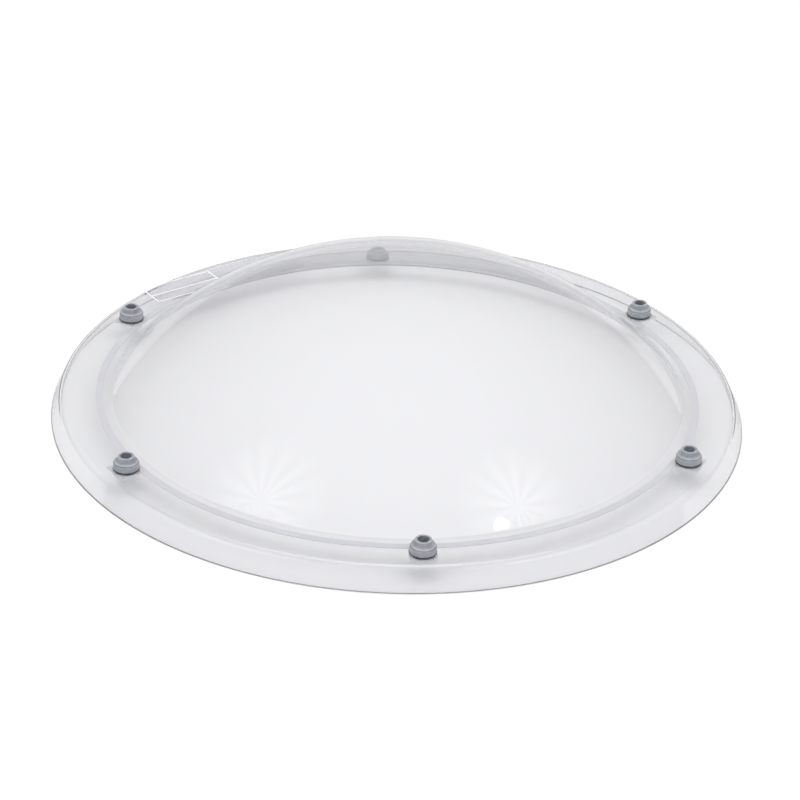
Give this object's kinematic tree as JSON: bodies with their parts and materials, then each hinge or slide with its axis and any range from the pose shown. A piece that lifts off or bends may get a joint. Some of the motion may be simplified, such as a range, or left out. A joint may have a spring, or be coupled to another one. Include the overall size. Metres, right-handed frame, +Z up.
{
  "type": "roof skylight",
  "caption": "Round clear domed rooflight with a flat flange, flared skirt, stepped grey fixing bushes, seal strip and bearing pads, for a curb on a flat roof.",
  "frame": {"origin": "centre of the lower rim of the skirt, in the plane that the rim stands on", "axes": "+Z up through the crown of the dome, -Y towards the first fixing bush"},
  "size_m": [0.7262, 0.7262, 0.1545],
  "materials": {
    "clear_acrylic": "clear polished acrylic sheet",
    "soft_strip": "pale foam strip",
    "bush_plastic": "moulded, satin grey",
    "washer_rubber": "dark, matt",
    "pad_plastic": "pale milky sheet with cut edges"
  },
  "bodies": {
    "root": {"dome_shell": "clear_acrylic", "seal_strip": "soft_strip", "fixing_bush_1": "bush_plastic", "fixing_bush_2": "bush_plastic", "fixing_bush_3": "bush_plastic", "fixing_bush_4": "bush_plastic", "fixing_bush_5": "bush_plastic", "fixing_bush_6": "bush_plastic", "sealing_washer_1": "washer_rubber", "sealing_washer_2": "washer_rubber", "sealing_washer_3": "washer_rubber", "sealing_washer_4": "washer_rubber", "sealing_washer_5": "washer_rubber", "sealing_washer_6": "washer_rubber", "bearing_pad_1": "pad_plastic", "bearing_pad_2": "pad_plastic", "bearing_pad_3": "pad_plastic", "bearing_pad_4": "pad_plastic", "bearing_pad_5": "pad_plastic", "bearing_pad_6": "pad_plastic"}
  },
  "joints": []
}
